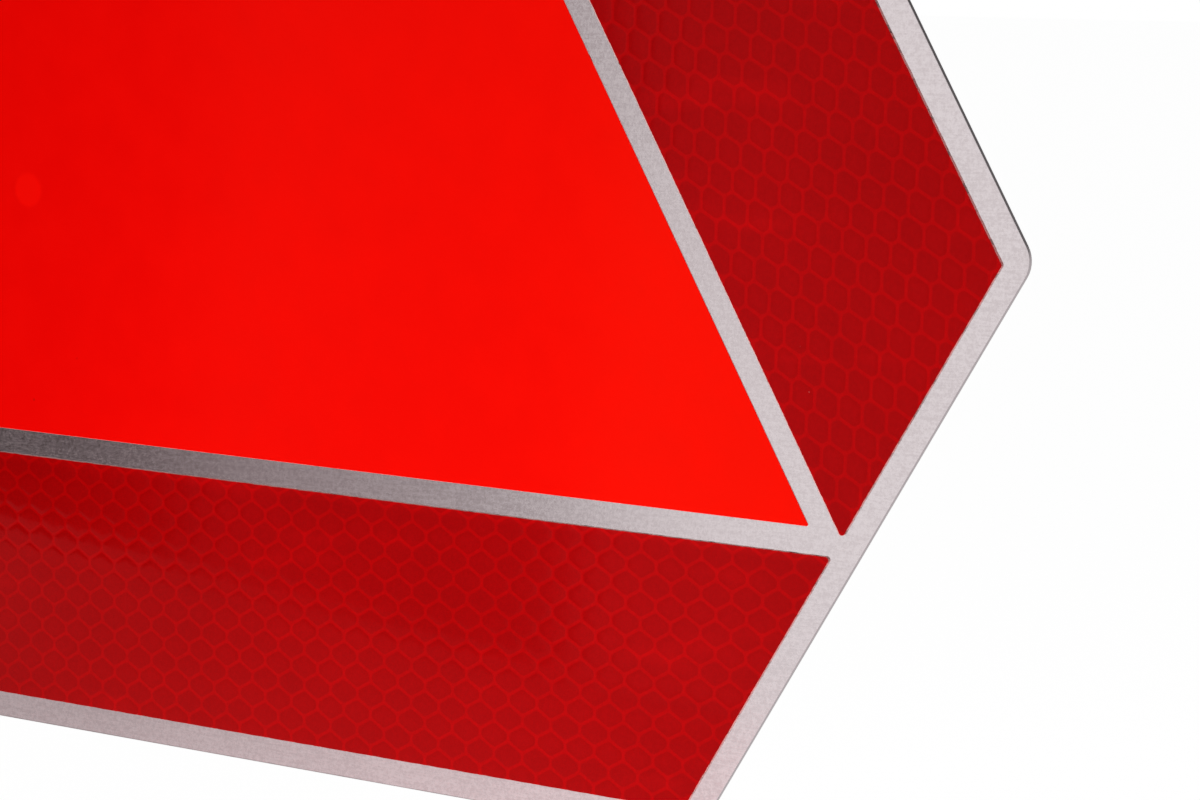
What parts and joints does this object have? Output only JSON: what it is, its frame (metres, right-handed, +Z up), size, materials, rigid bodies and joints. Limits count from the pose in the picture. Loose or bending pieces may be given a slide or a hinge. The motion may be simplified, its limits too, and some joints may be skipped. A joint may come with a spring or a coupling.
{
  "type": "slow moving vehicle sign",
  "caption": "Flat aluminium rear plate, a triangle with cut corners, with a fluorescent red centre and a red retroreflective border.",
  "frame": {"origin": "on the flat back of the aluminium sheet, level with the centre of the triangle", "axes": "+Z up through one point of the triangle, +X to the right as seen from the front, +Y out of the back, so the marked face looks along -Y"},
  "size_m": [0.4348, 0.0012, 0.3779],
  "materials": {
    "aluminium_sheet": "plain rolled sheet with a fine grain, blanked edges",
    "fluorescent_film": "smooth fluorescent red film",
    "reflective_film": "smooth red film over a net of welded honeycomb cells"
  },
  "bodies": {
    "root": {"aluminium_sheet": "aluminium_sheet", "fluorescent_triangle": "fluorescent_film", "bottom_reflective_strip": "reflective_film", "right_reflective_strip": "reflective_film", "left_reflective_strip": "reflective_film"}
  },
  "joints": []
}
